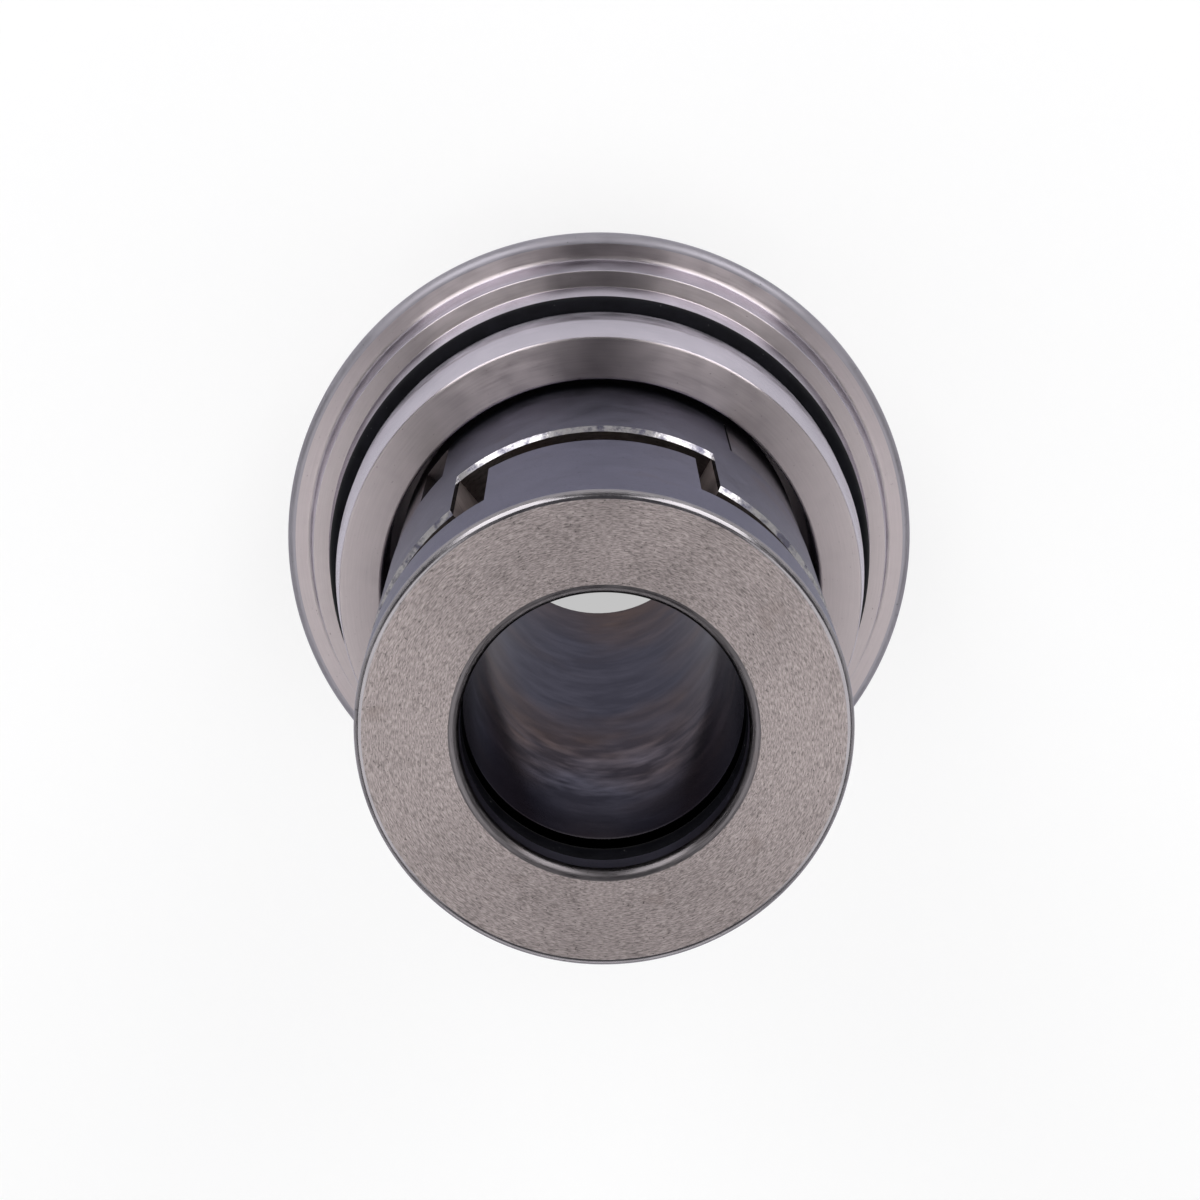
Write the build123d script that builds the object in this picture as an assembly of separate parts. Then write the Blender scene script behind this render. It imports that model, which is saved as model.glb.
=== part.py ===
"""Cartridge mechanical seal for a 22 mm shaft, standing on its dry end.

The shaft axis is Z. The dry end with its clamp collar is at z = 0 and the wet end is up.
Lengths are in millimetres and angles in degrees, counted from +X towards +Y.
"""
import os
from math import cos, radians, sin

from build123d import *

# Shaft, sleeve and the shared clearances
SHAFT_DIAMETER = 22.0
SLEEVE_WALL = 1.6
LAND_CLEARANCE = 0.05
SLIDE_CLEARANCE = 0.05
BONDED_CLEARANCE = 0.02
RUNNING_CLEARANCE = 0.3
EDGE_BREAK = 0.3

# Clamp collar and its set screws
COLLAR_HEIGHT = 10.4
COLLAR_DIAMETER = 37.0
COLLAR_CHAMFER = 0.8
SCREW_COUNT = 3
SCREW_DIAMETER = 6.0
SCREW_CLEARANCE = 0.05
SCREW_RECESS = 0.6
SCREW_TIP_GAP = 0.4
SCREW_SOCKET = 3.0
SCREW_SOCKET_DEPTH = 3.0
SCREW_POINT = 0.9
SCREW_HEADING = 90.0

# Retaining ring on the sleeve
COLLAR_GAP = 0.4
RETAINER_THICKNESS = 1.2
RETAINER_WIDTH = 2.7
RETAINER_GROOVE_DEPTH = 0.45
RETAINER_OPENING = 36.0
RETAINER_EAR = 3.2
RETAINER_EAR_HOLE = 1.4
RETAINER_EAR_LEAD = 1.6
RETAINER_GAP = 0.2

# Carrier, from the flange up to the nose
FLANGE_DIAMETER = 60.6
FLANGE_THICKNESS = 2.6
FLANGE_ROUNDING = 0.8
SHOULDER_FOOT_DIAMETER = 55.9
SHOULDER_DIAMETER = 54.9
SHOULDER_HEIGHT = 3.4
SHOULDER_FILLET = 0.6
STEP_DIAMETER = 51.9
STEP_TOP_DIAMETER = 50.4
STEP_HEIGHT = 1.4
GROOVE_WIDTH = 3.5
CARRIER_CORD = 3.0
CARRIER_CORD_PROUD = 1.15
LAND_DIAMETER = 48.8
LAND_HEIGHT = 4.4
NOSE_DIAMETER = 47.4
LEAD_IN_HEIGHT = 4.7
NOSE_CLEARANCE = 0.84
LIP_THICKNESS = 2.5
LIP_CLEARANCE = 1.0

# Seat ring in the carrier
SEAT_HEIGHT = 6.0
SEAT_FLANGE_HEIGHT = 2.3
SEAT_FLANGE_WALL = 4.7
SEAT_SPIGOT_WALL = 2.4
SEAT_CORD = 2.5
SEAT_CORD_SLACK = 0.05

# Rotary face, its cord and the thrust washer
ROTARY_HEIGHT = 5.7
ROTARY_NOSE_HEIGHT = 1.5
ROTARY_NOSE_WALL = 3.1
ROTARY_WALL = 4.3
ROTARY_CLEARANCE = 0.5
ROTARY_CORD = 2.3
WASHER_THICKNESS = 1.4
WASHER_CLEARANCE = 0.3

# Pins that key the rotary face and the seat
PIN_COUNT = 2
PIN_DIAMETER = 1.6
PIN_CLEARANCE = 0.1
PIN_REACH = 1.6
PIN_END_GAP = 0.1

# Face holder and the loose coupling ring
ROTOR_DIAMETER = 38.0
COUPLING_WALL = 3.8
HOLDER_INSET = 0.1
HOLDER_WEB = 3.4
HOLDER_SKIRT = 3.0
REAR_TONGUE_LENGTH = 11.7
REAR_TONGUE_SPAN = 81.0
REAR_GAP_SPAN = 92.0
REAR_FLANK_GAP = 1.0
HOLDER_TIP_GAP = 0.4
COUPLING_WAIST = 6.7
SLOT_DEPTH = 11.6
SLOT_SPAN = 68.2
SLOT_CHAMFER = 0.4

# Drive ring at the wet end
SPRING_TRAVEL = 4.0
TRAVEL_MARGIN = 0.3
DRIVE_TONGUE_SPAN = 52.0
DRIVE_TONGUE_HEADING = 93.2
COUPLING_LEAD = 2.3
TONGUE_TIP_GAP = 1.1
HUB_LENGTH = 3.6
HUB_CLEARANCE = 0.4
SLEEVE_ENTRY = 0.2
SHAFT_GROOVE_WIDTH = 4.3
SHAFT_CORD = 2.6
SHAFT_CORD_SLACK = 0.1
FRONT_LAND = 2.4
FRONT_ROUNDING = 0.6
BORE_ROUNDING = 0.8

# Compression spring with a closed turn at each end
SPRING_WIRE = 2.0
SPRING_TURNS = 7
SPRING_END_TURNS = 1
SPRING_STEPS = 12
SPRING_COIL_GAP = 0.06
SPRING_SEAT_GAP = 0.05
SPRING_CLEARANCE = 0.3

# Radii that follow from the sizes above
shaft_r = SHAFT_DIAMETER / 2
sleeve_r = shaft_r + SLEEVE_WALL
rotor_r = ROTOR_DIAMETER / 2
coupling_bore_r = rotor_r - COUPLING_WALL
holder_r = rotor_r - HOLDER_INSET
nose_bore_r = rotor_r + NOSE_CLEARANCE
lip_bore_r = sleeve_r + LIP_CLEARANCE
seat_spigot_r = lip_bore_r + SEAT_SPIGOT_WALL
seat_flange_r = lip_bore_r + SEAT_FLANGE_WALL
pocket_r = seat_flange_r + RUNNING_CLEARANCE
rotary_bore_r = sleeve_r + ROTARY_CLEARANCE
rotary_nose_r = rotary_bore_r + ROTARY_NOSE_WALL
rotary_r = rotary_bore_r + ROTARY_WALL
rotary_cord_bore_r = sleeve_r + SLIDE_CLEARANCE
holder_bore_r = rotary_cord_bore_r + ROTARY_CORD + SLIDE_CLEARANCE
washer_bore_r = sleeve_r + WASHER_CLEARANCE
washer_r = holder_bore_r - SLIDE_CLEARANCE * 2
hub_r = coupling_bore_r - HUB_CLEARANCE
tongue_bore_r = coupling_bore_r + HOLDER_INSET
spring_mean_r = sleeve_r + SPRING_CLEARANCE + SPRING_WIRE / 2
land_r = LAND_DIAMETER / 2
cord_crest_r = land_r + CARRIER_CORD_PROUD
groove_floor_r = cord_crest_r - CARRIER_CORD
shaft_groove_r = shaft_r + LAND_CLEARANCE + SHAFT_CORD + SHAFT_CORD_SLACK
retainer_bore_r = sleeve_r - RETAINER_GROOVE_DEPTH
retainer_r = retainer_bore_r + RETAINER_WIDTH

# Heights, stacked from the dry end
screw_z = COLLAR_HEIGHT / 2
retainer_base = COLLAR_HEIGHT + COLLAR_GAP
carrier_base = retainer_base + RETAINER_THICKNESS + RETAINER_GAP
flange_top = carrier_base + FLANGE_THICKNESS
shoulder_top = flange_top + SHOULDER_HEIGHT
groove_base = shoulder_top + STEP_HEIGHT
groove_top = groove_base + GROOVE_WIDTH
land_top = groove_top + LAND_HEIGHT
nose_top = land_top + LEAD_IN_HEIGHT
lip_top = carrier_base + LIP_THICKNESS
seat_top = lip_top + SEAT_HEIGHT
pocket_top = seat_top + RUNNING_CLEARANCE
rotary_top = seat_top + ROTARY_HEIGHT
holder_base = rotary_top - HOLDER_SKIRT
web_top = rotary_top + HOLDER_WEB
washer_base = rotary_top + ROTARY_CORD + SLIDE_CLEARANCE * 2
washer_top = washer_base + WASHER_THICKNESS
notch_floor = web_top + REAR_TONGUE_LENGTH
holder_tip = notch_floor - HOLDER_TIP_GAP
slot_floor = notch_floor + COUPLING_WAIST
coupling_top = slot_floor + SLOT_DEPTH
drive_shoulder = coupling_top + SPRING_TRAVEL + TRAVEL_MARGIN
drive_tip = slot_floor + SPRING_TRAVEL + TONGUE_TIP_GAP
hub_base = drive_shoulder - HUB_LENGTH
sleeve_top = drive_shoulder + SLEEVE_ENTRY
shaft_groove_top = sleeve_top + SHAFT_GROOVE_WIDTH
front_face = shaft_groove_top + FRONT_LAND

# Headings of the castellations
coupling_heading = DRIVE_TONGUE_HEADING + COUPLING_LEAD
holder_lead = (REAR_GAP_SPAN - REAR_TONGUE_SPAN) / 2 - REAR_FLANK_GAP
holder_gap_heading = coupling_heading + holder_lead
holder_tongue_heading = holder_gap_heading + 90
holder_tongue_span = 180 - REAR_GAP_SPAN


def turned(*corners):
    """Solid turned about Z from (radius, height) or (radius, height, rounding) corners."""
    face = make_face(Polyline(*[corner[:2] for corner in corners], close=True))
    for corner in corners:
        if len(corner) == 3:
            vertex = face.vertices().sort_by_distance((corner[0], corner[1], 0))[0]
            face = fillet(vertex, corner[2])
    return revolve(Plane.XZ * face, Axis.Z)


def ring(inner, outer, base, top):
    """Plain turned ring."""
    return turned((inner, base), (outer, base), (outer, top), (inner, top))


def sector(inner, outer, base, top, heading, span):
    """Part of a ring, centred on a heading."""
    outline = Polyline((inner, base), (outer, base), (outer, top), (inner, top), close=True)
    swept = revolve(Plane.XZ * make_face(outline), Axis.Z, revolution_arc=span)
    return Rot(0, 0, heading - span / 2) * swept


def opposed(inner, outer, base, top, heading, span):
    """Two ring sectors, one on each side of the axis."""
    first = sector(inner, outer, base, top, heading, span)
    return first + sector(inner, outer, base, top, heading + 180, span)


def between_tongues(solid, base, top, heading, span):
    """Cut a turned wall away on both sides, which leaves two opposed tongues of a span."""
    inner = (hub_r + tongue_bore_r) / 2
    return solid - opposed(inner, rotor_r * 2, base, top, heading + 90, 180 - span)


def around(count, heading):
    """Headings of evenly spaced copies."""
    return [heading + 360 * index / count for index in range(count)]


def upright(radius, base, top, place_r, heading):
    """Cylinder along Z at a place round the axis."""
    x = place_r * cos(radians(heading))
    y = place_r * sin(radians(heading))
    return Pos(x, y, (base + top) / 2) * Cylinder(radius, top - base)


def radial(solid, heading):
    """Lay a solid that was drawn along +Z from the axis out along a heading, at screw height."""
    return Pos(0, 0, screw_z) * Rot(0, 0, heading) * Rot(0, 90, 0) * solid


def cord(section, inner, mid_z):
    """O-ring of a cord section with its inner radius at a height."""
    return Pos(0, 0, mid_z) * Torus(inner + section / 2, section / 2)


def outer_arcs(solid, radius, height):
    """Round edges of a solid that lie on a radius at a height."""
    arcs = solid.edges().filter_by(GeomType.CIRCLE)
    tolerance = EDGE_BREAK / 10
    return [
        arc
        for arc in arcs
        if abs(arc.radius - radius) < tolerance and abs(arc.center().Z - height) < tolerance
    ]


def drive_ring():
    """Wet-end ring with a hub on the sleeve, a cord groove in its bore and two rear tongues."""
    land_bore_r = shaft_r + LAND_CLEARANCE
    hub_bore_r = sleeve_r + BONDED_CLEARANCE
    body = turned(
        (hub_bore_r, hub_base),
        (hub_r, hub_base),
        (hub_r, drive_shoulder),
        (tongue_bore_r, drive_shoulder),
        (tongue_bore_r, drive_tip),
        (rotor_r, drive_tip),
        (rotor_r, front_face, FRONT_ROUNDING),
        (land_bore_r, front_face, BORE_ROUNDING),
        (land_bore_r, shaft_groove_top),
        (shaft_groove_r, shaft_groove_top),
        (shaft_groove_r, sleeve_top),
        (hub_bore_r, sleeve_top),
    )
    return between_tongues(
        body, drive_tip, drive_shoulder, DRIVE_TONGUE_HEADING, DRIVE_TONGUE_SPAN
    )


def shaft_sleeve():
    """Tube through the whole cartridge, grooved for the retaining ring and drilled for the screws."""
    groove_floor = retainer_bore_r - BONDED_CLEARANCE
    groove_low = retainer_base - SLIDE_CLEARANCE
    groove_high = retainer_base + RETAINER_THICKNESS + SLIDE_CLEARANCE
    body = turned(
        (shaft_r, 0),
        (sleeve_r, 0),
        (sleeve_r, groove_low),
        (groove_floor, groove_low),
        (groove_floor, groove_high),
        (sleeve_r, groove_high),
        (sleeve_r, sleeve_top),
        (shaft_r, sleeve_top),
    )
    hole_r = SCREW_DIAMETER / 2 + RUNNING_CLEARANCE
    for heading in around(SCREW_COUNT, SCREW_HEADING):
        body -= radial(Pos(0, 0, sleeve_r) * Cylinder(hole_r, sleeve_r), heading)
    return body


def clamp_collar():
    """Collar round the sleeve's dry end with radial tapped holes."""
    collar_r = COLLAR_DIAMETER / 2
    bore_r = sleeve_r + BONDED_CLEARANCE
    body = turned(
        (bore_r, 0),
        (collar_r - COLLAR_CHAMFER, 0),
        (collar_r, COLLAR_CHAMFER),
        (collar_r, COLLAR_HEIGHT - COLLAR_CHAMFER),
        (collar_r - COLLAR_CHAMFER, COLLAR_HEIGHT),
        (bore_r, COLLAR_HEIGHT),
    )
    hole_r = SCREW_DIAMETER / 2 + SCREW_CLEARANCE
    for heading in around(SCREW_COUNT, SCREW_HEADING):
        body -= radial(Pos(0, 0, collar_r) * Cylinder(hole_r, collar_r), heading)
    return body


def set_screw(heading):
    """Headless screw with a hexagon socket outside and a blunt point towards the shaft."""
    screw_r = SCREW_DIAMETER / 2
    tip = shaft_r + SCREW_TIP_GAP
    end = COLLAR_DIAMETER / 2 - SCREW_RECESS
    body = turned(
        (0, tip),
        (screw_r - SCREW_POINT, tip),
        (screw_r, tip + SCREW_POINT),
        (screw_r, end - EDGE_BREAK),
        (screw_r - EDGE_BREAK, end),
        (0, end),
    )
    hexagon = RegularPolygon(SCREW_SOCKET / 2, 6, major_radius=False)
    body -= Pos(0, 0, end - SCREW_SOCKET_DEPTH) * extrude(hexagon, SCREW_SOCKET_DEPTH)
    return radial(body, heading)


def retaining_ring():
    """Open snap ring with two drilled ears, in the sleeve's groove."""
    top = retainer_base + RETAINER_THICKNESS
    body = ring(retainer_bore_r, retainer_r, retainer_base, top)
    body -= sector(0, retainer_r * 2, retainer_base, top, SCREW_HEADING, RETAINER_OPENING)
    ear_r = sleeve_r + RETAINER_EAR / 2 + BONDED_CLEARANCE
    for side in (-1, 1):
        heading = SCREW_HEADING + side * (RETAINER_OPENING / 2 + RETAINER_EAR_LEAD)
        body += upright(RETAINER_EAR / 2, retainer_base, top, ear_r, heading)
        body -= upright(RETAINER_EAR_HOLE / 2, retainer_base, top, ear_r, heading)
    return body


def seal_carrier():
    """Flange, stepped shoulder, cord groove and nose, turned as one piece."""
    flange_r = FLANGE_DIAMETER / 2
    body = turned(
        (lip_bore_r, carrier_base),
        (flange_r, carrier_base, FLANGE_ROUNDING),
        (flange_r, flange_top, FLANGE_ROUNDING),
        (SHOULDER_FOOT_DIAMETER / 2, flange_top, SHOULDER_FILLET),
        (SHOULDER_DIAMETER / 2, shoulder_top, EDGE_BREAK / 2),
        (STEP_DIAMETER / 2, shoulder_top),
        (STEP_TOP_DIAMETER / 2, groove_base),
        (groove_floor_r, groove_base),
        (groove_floor_r, groove_top),
        (land_r, groove_top, EDGE_BREAK / 2),
        (land_r, land_top),
        (NOSE_DIAMETER / 2, nose_top, EDGE_BREAK),
        (nose_bore_r, nose_top, EDGE_BREAK),
        (nose_bore_r, pocket_top),
        (pocket_r, pocket_top),
        (pocket_r, lip_top),
        (lip_bore_r, lip_top),
    )
    hole_r = PIN_DIAMETER / 2 + PIN_CLEARANCE
    for heading in around(PIN_COUNT, 0):
        body -= upright(hole_r, lip_top - PIN_REACH - PIN_END_GAP, lip_top, seat_pin_r(), heading)
    return body


def seat_pin_r():
    """Pitch radius of the seat's pins, at the middle of its spigot wall."""
    return lip_bore_r + SEAT_SPIGOT_WALL / 2


def face_pin_r():
    """Pitch radius of the rotary face's pins, between the holder's bore and the face's edge."""
    return (holder_bore_r + rotary_r) / 2


def seat_ring():
    """Lapped seat with a flange at the top and a spigot that carries its cord."""
    flange_base = seat_top - SEAT_FLANGE_HEIGHT
    body = turned(
        (lip_bore_r, lip_top),
        (seat_spigot_r, lip_top),
        (seat_spigot_r, flange_base),
        (seat_flange_r, flange_base),
        (seat_flange_r, seat_top),
        (lip_bore_r, seat_top),
    )
    hole_r = PIN_DIAMETER / 2 + PIN_CLEARANCE
    for heading in around(PIN_COUNT, 0):
        body -= upright(hole_r, lip_top, lip_top + PIN_REACH + PIN_END_GAP, seat_pin_r(), heading)
    return body


def seat_o_ring():
    """Cord under the seat's flange."""
    mid_z = seat_top - SEAT_FLANGE_HEIGHT - SEAT_CORD / 2 - SEAT_CORD_SLACK
    return cord(SEAT_CORD, seat_spigot_r + SEAT_CORD_SLACK, mid_z)


def rotary_face():
    """Lapped ring with a narrow sealing nose below and pin holes above."""
    nose_edge = seat_top + ROTARY_NOSE_HEIGHT
    body = turned(
        (rotary_bore_r, seat_top),
        (rotary_nose_r, seat_top),
        (rotary_nose_r, nose_edge),
        (rotary_r, nose_edge),
        (rotary_r, rotary_top),
        (rotary_bore_r, rotary_top),
    )
    hole_r = PIN_DIAMETER / 2 + PIN_CLEARANCE
    for heading in around(PIN_COUNT, 0):
        body -= upright(
            hole_r, rotary_top - PIN_REACH - PIN_END_GAP, rotary_top, face_pin_r(), heading
        )
    return body


def face_holder():
    """Cup round the rotary face with two tongues that reach up to the coupling ring."""
    skirt_bore_r = rotary_r + SLIDE_CLEARANCE
    body = turned(
        (skirt_bore_r, holder_base),
        (holder_r, holder_base),
        (holder_r, holder_tip),
        (tongue_bore_r, holder_tip),
        (tongue_bore_r, web_top),
        (holder_bore_r, web_top),
        (holder_bore_r, rotary_top),
        (skirt_bore_r, rotary_top),
    )
    body = between_tongues(
        body, web_top, holder_tip, holder_tongue_heading, holder_tongue_span
    )
    hole_r = PIN_DIAMETER / 2 + PIN_CLEARANCE
    for heading in around(PIN_COUNT, 0):
        body -= upright(
            hole_r, rotary_top, rotary_top + PIN_REACH + PIN_END_GAP, face_pin_r(), heading
        )
    return body


def pin(mid_z, place_r, heading):
    """Plain dowel that reaches equally into two pieces."""
    return upright(PIN_DIAMETER / 2, mid_z - PIN_REACH, mid_z + PIN_REACH, place_r, heading)


def thrust_washer():
    """Washer between the spring and the rotary face's cord."""
    return ring(washer_bore_r, washer_r, washer_base, washer_top)


def coupling_ring():
    """Loose ring, slotted above for the drive ring's tongues and notched below for the holder's."""
    body = ring(coupling_bore_r, rotor_r, web_top, coupling_top)
    body -= opposed(0, rotor_r * 2, slot_floor, coupling_top, coupling_heading, SLOT_SPAN)
    notch_span = 180 - REAR_TONGUE_SPAN
    body -= opposed(0, rotor_r * 2, web_top, notch_floor, coupling_heading + 90, notch_span)
    broken = outer_arcs(body, rotor_r, coupling_top) + outer_arcs(body, rotor_r, slot_floor)
    return chamfer(broken, SLOT_CHAMFER)


def spring_rise(turn):
    """Rise of the wire's middle after a number of turns, slow in the closed turns at each end."""
    end_pitch = SPRING_WIRE + SPRING_COIL_GAP
    active_turns = SPRING_TURNS - 2 * SPRING_END_TURNS
    height = hub_base - washer_top - SPRING_WIRE - 2 * SPRING_SEAT_GAP
    active_pitch = (height - 2 * SPRING_END_TURNS * end_pitch) / active_turns
    active = min(max(turn - SPRING_END_TURNS, 0), active_turns)
    return active * active_pitch + (turn - active) * end_pitch


def compression_spring():
    """Round wire coiled about the sleeve, swept along a curve through evenly turned points."""
    start_z = washer_top + SPRING_SEAT_GAP + SPRING_WIRE / 2
    points = []
    for step in range(SPRING_TURNS * SPRING_STEPS + 1):
        turn = step / SPRING_STEPS
        x = spring_mean_r * cos(radians(360 * turn))
        y = spring_mean_r * sin(radians(360 * turn))
        points.append((x, y, start_z + spring_rise(turn)))
    path = Spline(*points)
    start = Plane(origin=path @ 0, z_dir=path % 0)
    return sweep(start * Circle(SPRING_WIRE / 2), path=path, is_frenet=True)


nodes = {
    "drive_ring": drive_ring(),
    "shaft_sleeve": shaft_sleeve(),
    "shaft_o_ring": cord(
        SHAFT_CORD, shaft_r + LAND_CLEARANCE, (sleeve_top + shaft_groove_top) / 2
    ),
    "clamp_collar": clamp_collar(),
    "retaining_ring": retaining_ring(),
    "seal_carrier": seal_carrier(),
    "carrier_o_ring": cord(
        CARRIER_CORD, groove_floor_r, (groove_base + groove_top) / 2
    ),
    "seat_ring": seat_ring(),
    "seat_o_ring": seat_o_ring(),
    "rotary_face": rotary_face(),
    "rotary_face_o_ring": cord(
        ROTARY_CORD, rotary_cord_bore_r, rotary_top + SLIDE_CLEARANCE + ROTARY_CORD / 2
    ),
    "thrust_washer": thrust_washer(),
    "face_holder": face_holder(),
    "coupling_ring": coupling_ring(),
    "compression_spring": compression_spring(),
}
for number, heading in enumerate(around(SCREW_COUNT, SCREW_HEADING), start=1):
    nodes[f"set_screw_{number}"] = set_screw(heading)
for number, heading in enumerate(around(PIN_COUNT, 0), start=1):
    nodes[f"seat_pin_{number}"] = pin(lip_top, seat_pin_r(), heading)
    nodes[f"face_pin_{number}"] = pin(rotary_top, face_pin_r(), heading)

os.makedirs("parts", exist_ok=True)
for name, solid in nodes.items():
    export_step(solid, f"parts/{name}.step")
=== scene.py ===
"""Studio scene of a cartridge mechanical seal, dressed over its packed CAD frame.

Lengths are in metres. The shaft axis is Z, with the dry end on the floor and the wet end up.
"""
from math import cos, radians, sin
from typing import NamedTuple

import bmesh
import bpy
import numpy as np
from bpy.props import FloatProperty, FloatVectorProperty, IntProperty, PointerProperty
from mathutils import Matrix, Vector


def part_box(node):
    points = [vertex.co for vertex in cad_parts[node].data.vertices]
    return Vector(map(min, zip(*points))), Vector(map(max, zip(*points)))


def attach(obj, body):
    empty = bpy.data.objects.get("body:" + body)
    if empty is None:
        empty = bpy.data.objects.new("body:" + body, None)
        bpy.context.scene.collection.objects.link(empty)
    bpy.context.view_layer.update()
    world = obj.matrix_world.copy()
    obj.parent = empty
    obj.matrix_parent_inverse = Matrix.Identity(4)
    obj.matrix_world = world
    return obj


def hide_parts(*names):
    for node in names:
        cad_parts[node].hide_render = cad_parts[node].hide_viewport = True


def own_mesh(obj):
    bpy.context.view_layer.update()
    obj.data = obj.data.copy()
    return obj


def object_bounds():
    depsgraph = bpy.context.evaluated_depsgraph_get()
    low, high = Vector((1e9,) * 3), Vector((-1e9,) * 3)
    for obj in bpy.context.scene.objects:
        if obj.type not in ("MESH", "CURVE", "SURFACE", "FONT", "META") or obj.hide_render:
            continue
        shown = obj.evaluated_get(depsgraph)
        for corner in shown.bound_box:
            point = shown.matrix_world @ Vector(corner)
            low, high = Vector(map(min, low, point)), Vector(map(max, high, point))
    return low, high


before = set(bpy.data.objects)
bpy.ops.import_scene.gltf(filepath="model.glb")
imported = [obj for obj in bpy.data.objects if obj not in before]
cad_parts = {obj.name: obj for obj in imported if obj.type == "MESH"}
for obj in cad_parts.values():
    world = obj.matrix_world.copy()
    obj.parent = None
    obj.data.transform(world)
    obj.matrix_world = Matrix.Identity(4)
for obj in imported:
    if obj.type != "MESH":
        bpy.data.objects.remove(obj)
cad_low, cad_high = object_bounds()

bl_info = {
    "name": "Cartridge mechanical seal",
    "version": (1, 0, 0),
    "blender": (4, 5, 0),
    "location": "3D View > Sidebar > Seal",
    "description": "Builds and finishes a cartridge mechanical seal over its CAD frame",
    "category": "Add Mesh",
}

MERGE_DISTANCE = 1e-7
FLANK_HAIR = 1e-6
FLOOR_GAP = 1e-5
MICROMETRE = 1e-6
SHARP_ANGLE = radians(32)

# Finishes: turn of the anisotropy, blue of grazing light, share of height in a mark's path, spans of
# patterns, shares of soil and drags, bands in the bore, gloss of rubber and lines round the spring's wire.
ACROSS_MARKS = 0.25
GRAZING_BLUE = 1.1
HEIGHT_SHARE = 0.83
PATTERN_MIDDLE = (0.3, 0.7)
BLOTCH_SPAN = (0.25, 0.75)
MARK_SPAN = (0.28, 0.72)
FACE_LEAN = (0.55, 0.92)
DRAG_SPAN = (0.655, 0.73)
SOIL_SPAN = (0.62, 0.86)
SOIL_SHARE = 0.75
DRAG_SHADE = 0.45
BORE_BANDS = (70.0, 70.0, 160.0)
RUBBER_GLOSS = 0.025
WIRE_LINES = 9.0

# Sleeve, by depth under its top: where the painted highlight band fades in, where the ring streaks, which
# are partly a painted reflection, fade in and out, and what is left of them elsewhere.
PAINTED_HIGHLIGHT_FADE = (0.00040, 0.00015)
RINGS_LOW = (0.024, 0.017)
RINGS_HIGH = (0.011, 0.006)
RINGS_FAINT = 0.25

# Numbers of the corners in the drive ring's outline and in the carrier's.
RIM_CORNER = 6
MOUTH_CORNER = 7
GROOVE_CORNERS = (8, 9, 10)
FLANGE_CORNERS = (1, 2)

# Steps for each step of a rounded edge: round a cord, along a turn of the spring, round its wire, round a
# set screw and along it.
CORD_LAP = 8
COIL_TURN = 10
WIRE_LAP = 4
SCREW_LAP = 12
SCREW_LENGTH = 18

# Set screws: how far they stand back in the collar, and the crests' wear in thread depths: how deep it
# reaches and how far it fades.
SCREW_SUNK = 0.0006
CREST_REACH = 0.35
CREST_FADE = 0.3

# Spring: closed turns at an end, turns that ease into the open pitch, and closed pitch in wires.
CLOSED_TURNS = 0.75
EASE_TURNS = 0.5
CLOSED_PITCH = 1.03

# Stage: steps of the floor, its finish and the near end of the camera's range.
FLOOR_STEPS = 96
SWEEP_STEPS = 24
FLOOR_ROUGHNESS = 0.9
FLOOR_GLOSS = 0.1
CLIP_START = 0.01


def reach(node):
    """Radius, base height and top height of a round CAD node."""
    low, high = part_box(node)
    return max(high.x, high.y, -low.x, -low.y), low.z, high.z


ROTOR_R, DRIVE_TIP_Z, FRONT_Z = reach("drive_ring")
COUPLING_R, COUPLING_BASE_Z, COUPLING_TOP_Z = reach("coupling_ring")
HOLDER_R, HOLDER_BASE_Z, HOLDER_TIP_Z = reach("face_holder")
FLANGE_R, CARRIER_BASE_Z, NOSE_Z = reach("seal_carrier")
SLEEVE_R, _, SLEEVE_TOP_Z = reach("shaft_sleeve")
SPRING_R, SPRING_BASE_Z, SPRING_TOP_Z = reach("compression_spring")
COLLAR_R, COLLAR_BASE_Z, COLLAR_TOP_Z = reach("clamp_collar")


def length(description, default):
    """Distance property in metres."""
    return FloatProperty(
        description=description, default=default, precision=5, subtype="DISTANCE", unit="LENGTH"
    )


def bearing(description, degrees):
    """Angle property, written in degrees and kept in radians."""
    return FloatProperty(description=description, default=radians(degrees), subtype="ANGLE")


def colour(description, default):
    """Linear colour property."""
    return FloatVectorProperty(
        description=description, default=default, size=3, min=0.0, max=1.0, subtype="COLOR"
    )


def amount(description, default):
    """Plain number property."""
    return FloatProperty(description=description, default=default)


def count(description, default, least):
    """Whole number property."""
    return IntProperty(description=description, default=default, min=least)


def named(group):
    """Name each property of a group after its key, in plain words."""
    for key, entry in group.__annotations__.items():
        entry.keywords["name"] = key.replace("_", " ").capitalize()
    return group


@named
class SealDriveRing(bpy.types.PropertyGroup):
    """Sizes of the wet-end ring."""

    radius: length("Outer radius of the drive ring", ROTOR_R)
    front: length("Height of the ground front face", FRONT_Z)
    tip: length("Height where the two rear tongues end", DRIVE_TIP_Z)
    shoulder: length("Height of the rear shoulder between the tongues", 0.0641)
    tongue_bore: length("Inner radius of the tongues", 0.0153)
    hub_radius: length("Outer radius of the hub on the sleeve", 0.0148)
    hub_base: length("Height of the hub's lower face, which backs the spring", 0.0605)
    hub_fit: length("Gap between the sleeve and the hub", 0.00002)
    land_bore: length("Radius of the short land at the mouth of the bore", 0.01105)
    land_height: length("Height of that land below the front face", 0.0024)
    groove_radius: length("Radius of the cord groove in the bore", 0.01375)
    front_rounding: length("Radius of the front face's outer edge", 0.0006)
    bore_rounding: length("Radius of the bore's lead-in", 0.0008)
    heading: bearing("Direction of the first tongue from +X", 93.2)
    span: bearing("Angle that a tongue takes", 52.0)
    wear: length("Width of the rubbed edges", 0.00010)


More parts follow.
